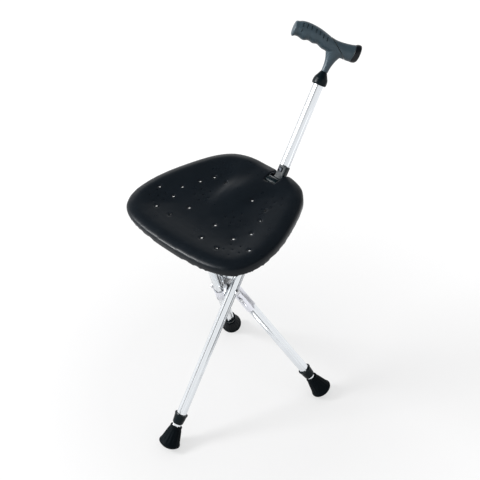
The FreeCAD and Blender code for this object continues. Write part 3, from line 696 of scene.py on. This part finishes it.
# Both arms in one: distance along them, top, bottom and half width
ARM = (
    (79.6, 18.6, 1.4, 8.6), (79.4, 21.6, -2.6, 11.6), (78.2, 23.0, -4.8, 13.0), (75.6, 23.6, -5.2, 13.4),
    (73.6, 23.8, -2.6, 12.7), (70.0, 25.8, -2.0, 13.5), (65.5, 27.1, -2.2, 14.1), (60.5, 27.8, -4.0, 14.7),
    (55.5, 27.9, -5.2, 14.9), (49.5, 27.7, -1.0, 14.8), (44.0, 27.2, -1.8, 15.0), (38.6, 26.6, -4.2, 15.0),
    (32.5, 25.5, -1.2, 14.6), (27.5, 24.3, -2.6, 14.4), (22.0, 22.8, -6.0, 14.2), (13.3, 20.2, -6.4, 13.6),
    (5.0, 18.3, -7.4, 13.1), (-4.0, 17.6, -8.4, 12.8), (-12.5, 18.3, -8.8, 12.8), (-20.0, 19.2, -9.0, 13.1),
    (-28.3, 20.6, -9.1, 13.8), (-34.0, 22.4, -8.9, 14.4), (-37.0, 22.6, -7.4, 13.6),
)
END_CAP = ((-34.0, 20.0, -7.0, 12.0), (-34.2, 22.5, -9.0, 14.5), (-38.5, 24.8, -8.7, 14.9),
           (-42.5, 25.4, -7.6, 14.7), (-44.8, 24.6, -5.8, 13.9), (-45.9, 22.2, -2.6, 11.8),
           (-45.0, 20.6, -0.6, 10.4), (-44.8, 14.0, 6.0, 4.0))
# Neck below the arms: height, middle along the arm, half size along it and across it
NECK = ((-41.4, -0.8, 6.2, 6.2), (-40.0, -0.8, 6.4, 6.2), (-34.0, -1.0, 6.3, 6.0), (-27.0, -1.6, 7.2, 6.6),
        (-20.0, -2.0, 8.8, 7.6), (-14.0, -2.4, 10.8, 8.8), (-9.0, -3.0, 13.6, 10.0), (-3.0, -3.0, 16.0, 11.0),
        (4.0, -3.0, 15.0, 10.0))
# Grip ribs on the long arm's front shoulder: distance along it and height
RIBS = ((66.3, 20.3), (58.8, 21.0), (50.9, 21.1), (42.0, 19.8), (34.4, 18.4), (26.7, 15.8), (18.6, 13.0))
# The bar that cuts the groove of a rib, and the rounding of its edges
RIB_BAR, RIB_ROUNDING = (2.3, 8.5, 5.0), 0.7
# The crescent near the long arm's far end: distance along it and height
CRESCENT = (65.7, 10.3)
# The seam between the arms: a point on it and the direction across it
SEAM_POINT, SEAM_ACROSS = (-7.0, 0.0, 5.0), (19.9, 0.0, -25.6)


def arm_rings(stations):
    return [((along * MM, 0.0, (top + bottom) / 2 * MM), half_width * MM, (top - bottom) / 2 * MM)
            for along, top, bottom, half_width in stations]


class STICKSEAT_OT_handle(bpy.types.Operator):
    """Model the T-shaped handle: arms with finger grooves and ribs, neck and dark end cap"""
    bl_idname = "stickseat.handle"
    bl_label = "Handle"

    def execute(self, context):
        arm = ring_piece("handle_long_arm", arm_rings(ARM), along_x=True)
        subdivide(arm, 2)
        neck = ring_piece("handle_neck", [((middle * MM, 0.0, rise * MM), along * MM, across * MM)
                                          for rise, middle, along, across in NECK])
        subdivide(neck, 1)
        combine(arm, neck, "UNION")
        soften(arm, voxel=0.0008, passes=10)
        for along, rise in RIBS:
            combine(arm, self.rib_cutter(along, rise), "DIFFERENCE")
        combine(arm, self.crescent_cutter(), "DIFFERENCE")
        short = arm.copy()
        short.data = arm.data.copy()
        short.name = "handle_short_arm"
        context.scene.collection.objects.link(short)
        seam = Vector(SEAM_POINT) * MM
        across = Vector(SEAM_ACROSS).normalized()
        gap = across * sizes().seam_gap / 2
        trim(arm, seam + gap, across)
        trim(short, seam - gap, -across)
        cap = ring_piece("handle_dark_cap", arm_rings(END_CAP), along_x=True)
        subdivide(cap, 2)
        place = handle_frame()
        for piece, node, finish in ((arm, "handle_grip", "handle"), (short, "handle_end_piece", "handle"),
                                    (cap, "handle_end_cap", "cap")):
            settle(piece, place)
            finish_piece(piece, node, finish, edge=50.0)
        return {"FINISHED"}

    def surface_point(self, along, rise):
        """Where the arm's front face lies at a distance along it and a height, and which way it faces."""
        stations = sorted(ARM)
        near, far = next(pair for pair in zip(stations, stations[1:]) if along <= pair[1][0])
        share = (along - near[0]) / (far[0] - near[0])
        top, bottom, half = (near[i] + (far[i] - near[i]) * share for i in (1, 2, 3))
        middle, tall = (top + bottom) / 2, (top - bottom) / 2
        lean = math.asin(max(-0.95, min(0.95, (rise - middle) / tall)))
        normal = Vector((0.0, math.cos(lean) / half, math.sin(lean) / tall)).normalized()
        return Vector((along, half * math.cos(lean), rise)) * MM, normal

    def rib_cutter(self, along, rise):
        """A narrow rounded bar that lies across the arm's shoulder."""
        point, normal = self.surface_point(along, rise)
        clear_selection()
        bpy.ops.mesh.primitive_cube_add(size=1.0)
        cutter = bpy.context.object
        cutter.scale = [side * MM for side in RIB_BAR]
        bpy.ops.object.transform_apply(location=False, rotation=False, scale=True)
        apply_modifier(cutter, "BEVEL", width=RIB_ROUNDING * MM, segments=3)
        side = Vector((1.0, 0.0, 0.0))
        turn = Matrix((side, normal.cross(side), normal)).transposed().to_4x4()
        settle(cutter, Matrix.Translation(point) @ turn)
        return cutter

    def crescent_cutter(self):
        """A small oval cone that leaves a shallow crescent where it dips into the arm's face."""
        point, normal = self.surface_point(*CRESCENT)
        cutter = ring_piece("crescent_cutter", [((0.0, 0.0, -2.4 * MM), 1.0 * MM, 2.2 * MM),
                                                ((0.0, 0.0, 1.5 * MM), 2.0 * MM, 3.6 * MM)], vertices=24)
        turn = Vector((0.0, 0.0, 1.0)).rotation_difference(normal).to_matrix().to_4x4()
        settle(cutter, Matrix.Translation(point) @ turn)
        return cutter


# Stage. Angles are in degrees and lengths in metres.

# Each lamp's place, width and power, and the point that all shine at
LAMPS = {"key_lamp": ((-1.6, 1.35, 1.85), 0.8, 46.0), "fill_lamp": ((0.4, -2.4, 1.6), 1.8, 4.0)}
LAMP_TARGET = (0.03, 0.0, 0.35)
FLOOR_SIZE = 24.0
FLOOR_COLOUR = (0.32, 0.32, 0.322, 1.0)
# The floor's glow grows from the first to the second value between these distances from the middle
GLOW_REACH, GLOW = (0.25, 0.9), (0.60, 0.78)
# In gloss the room is white up to the first elevation and painted dark from the second on, to this strength:
# a painted dark reflection, while the soft light still comes from above
PAINTED_DARK_ABOVE_EDGE, PAINTED_DARK_ABOVE = (24.5, 34.0), 0.05
# Painted highlight, a bright round patch that only gloss sees and that lights nothing: its direction, its
# outer and inner half angle and its strength
PAINTED_HIGHLIGHT_PLACE, PAINTED_HIGHLIGHT_EDGE, PAINTED_HIGHLIGHT = (-1.63, 1.35, 1.5), (27.0, 17.0), 8.0
# All else has soft light, from the first strength to the second over this range of a direction's height
SOFT_REACH, SOFT_LIGHT = (-0.1, 0.9), (0.16, 0.80)
# Where the camera stands over the floor, and how far above the hub
CAMERA_PLACE, CAMERA_RISE = (-0.9707, -0.9969), 1.2378
CAMERA_SENSOR, CAMERA_LENS = 36.0, 75.36
CAMERA_AZIMUTH, CAMERA_ELEVATION, CAMERA_ROLL = 45.32, 39.06, -1.27


def lamp(name, place, size, power):
    """A round area lamp that faces the object."""
    light = bpy.data.lights.new(name, "AREA")
    light.shape = "DISK"
    light.size = size
    light.energy = power
    item = bpy.data.objects.new(name, light)
    bpy.context.scene.collection.objects.link(item)
    item.location = place
    item.rotation_euler = (Vector(LAMP_TARGET) - Vector(place)).to_track_quat("-Z", "Y").to_euler()


class STICKSEAT_OT_stage(bpy.types.Operator):
    """Set up the floor, background, studio lamps and camera"""
    bl_idname = "stickseat.stage"
    bl_label = "Stage and Camera"

    def execute(self, context):
        self.floor()
        self.room(context.scene)
        for name, (place, size, power) in LAMPS.items():
            lamp(name, place, size, power)
        self.camera(context.scene)
        context.scene.view_settings.view_transform = "Standard"
        return {"FINISHED"}

    def floor(self):
        """A pale paper floor that runs out into the white background."""
        clear_selection()
        bpy.ops.mesh.primitive_plane_add(size=FLOOR_SIZE, location=(0.0, 0.0, 0.0))
        floor = bpy.context.object
        floor.name = "floor"
        recipe = Recipe("floor_paper")
        recipe.shade(FLOOR_COLOUR, recipe.noise(scale=3.0, detail=2.0), low=0.995, high=1.0)
        recipe.set(Roughness=0.9, Specular_IOR_Level=0.1, Emission_Color=WHITE)
        distance = recipe.add("ShaderNodeVectorMath", operation="LENGTH")
        recipe.join(recipe.place, distance, 0)
        glow = recipe.ramp(distance.outputs["Value"], *GLOW_REACH, *GLOW)
        rays = recipe.add("ShaderNodeLightPath").outputs
        seen = recipe.reckon("MAXIMUM", rays["Is Camera Ray"], rays["Is Glossy Ray"])
        recipe.join(recipe.reckon("MULTIPLY", seen, glow), recipe.shader, "Emission Strength")
        floor.data.materials.append(recipe.material)

    def room(self, scene):
        """White to the camera, and soft light that is stronger from above than from the sides.

        Gloss sees a painted reflection instead: dark above, with one bright round patch that lights nothing.
        """
        world = bpy.data.worlds.new("studio")
        scene.world = world
        world.use_nodes = True
        studio = NodeTree(world.node_tree)
        view = studio.add("ShaderNodeTexCoord").outputs["Generated"]
        direction = studio.add("ShaderNodeSeparateXYZ")
        studio.join(view, direction, 0)
        height = direction.outputs["Z"]
        # Painted dark reflection: above these elevations gloss sees dark, though the soft light comes from
        # there
        edges = [math.sin(math.radians(elevation)) for elevation in PAINTED_DARK_ABOVE_EDGE]
        painted_dark_above = studio.ramp(height, *edges, 1.0, PAINTED_DARK_ABOVE)
        # Painted highlight: a bright round patch that only gloss sees, which lights nothing
        toward = studio.add("ShaderNodeVectorMath", operation="DOT_PRODUCT")
        studio.join(view, toward, 0)
        toward.inputs[1].default_value = Vector(PAINTED_HIGHLIGHT_PLACE).normalized()
        edges = [math.cos(math.radians(aside)) for aside in PAINTED_HIGHLIGHT_EDGE]
        painted_highlight = studio.ramp(toward.outputs["Value"], *edges, 0.0, PAINTED_HIGHLIGHT)
        painted_reflection = studio.reckon("ADD", painted_dark_above, painted_highlight)
        soft = studio.ramp(height, *SOFT_REACH, *SOFT_LIGHT)
        rays = studio.add("ShaderNodeLightPath").outputs
        # Gloss sees the painted reflection in place of the soft light
        strength = studio.choose(rays["Is Glossy Ray"], soft, painted_reflection)
        strength = studio.choose(rays["Is Camera Ray"], strength, 1.0)
        strength = studio.choose(rays["Is Transmission Ray"], strength, 1.0)
        background = studio.nodes["Background"]
        studio.join(strength, background, "Strength")
        background.inputs["Color"].default_value = WHITE

    def camera(self, scene):
        """The photograph's point of view, at the same height over the hub."""
        camera = bpy.data.cameras.new("photo_camera")
        camera.sensor_width = CAMERA_SENSOR
        camera.lens = CAMERA_LENS
        item = bpy.data.objects.new("photo_camera", camera)
        scene.collection.objects.link(item)
        azimuth, elevation, roll = map(math.radians, (CAMERA_AZIMUTH, CAMERA_ELEVATION, CAMERA_ROLL))
        ahead = Vector((math.sin(azimuth) * math.cos(elevation), math.cos(azimuth) * math.cos(elevation),
                        -math.sin(elevation)))
        level = ahead.cross(Vector((0.0, 0.0, 1.0))).normalized()
        up = level.cross(ahead)
        right = math.cos(roll) * level + math.sin(roll) * up
        top = math.cos(roll) * up - math.sin(roll) * level
        turn = Matrix((right, top, -ahead)).transposed().to_4x4()
        item.matrix_world = Matrix.Translation((*CAMERA_PLACE, sizes().hub_height + CAMERA_RISE)) @ turn
        scene.camera = item


# Panel and registration

STEPS = (STICKSEAT_OT_finishes, STICKSEAT_OT_tubes, STICKSEAT_OT_hardware, STICKSEAT_OT_fittings,
         STICKSEAT_OT_seat, STICKSEAT_OT_feet, STICKSEAT_OT_handle, STICKSEAT_OT_stage)


class STICKSEAT_PT_panel(bpy.types.Panel):
    """Lists the steps and the sizes and colours"""
    bl_label = "Stick Seat"
    bl_idname = "STICKSEAT_PT_panel"
    bl_space_type = "VIEW_3D"
    bl_region_type = "UI"
    bl_category = "Stick Seat"

    def draw(self, context):
        for step in STEPS:
            self.layout.operator(step.bl_idname)
        for group in (sizes(), colours()):
            for key in group.bl_rna.properties.keys():
                if key not in ("rna_type", "name"):
                    self.layout.prop(group, key)


CLASSES = (StickSeatSizes, StickSeatColours) + STEPS + (STICKSEAT_PT_panel,)


def register():
    for item in CLASSES:
        bpy.utils.register_class(item)
    bpy.types.Scene.stick_seat_sizes = bpy.props.PointerProperty(type=StickSeatSizes)
    bpy.types.Scene.stick_seat_colours = bpy.props.PointerProperty(type=StickSeatColours)


def unregister():
    del bpy.types.Scene.stick_seat_colours
    del bpy.types.Scene.stick_seat_sizes
    for item in reversed(CLASSES):
        bpy.utils.unregister_class(item)


def main():
    register()
    bpy.ops.stickseat.finishes()
    bpy.ops.stickseat.tubes()
    bpy.ops.stickseat.hardware()
    bpy.ops.stickseat.fittings()
    bpy.ops.stickseat.seat()
    bpy.ops.stickseat.feet()
    bpy.ops.stickseat.handle()
    bpy.ops.stickseat.stage()


if __name__ == "__main__":
    main()
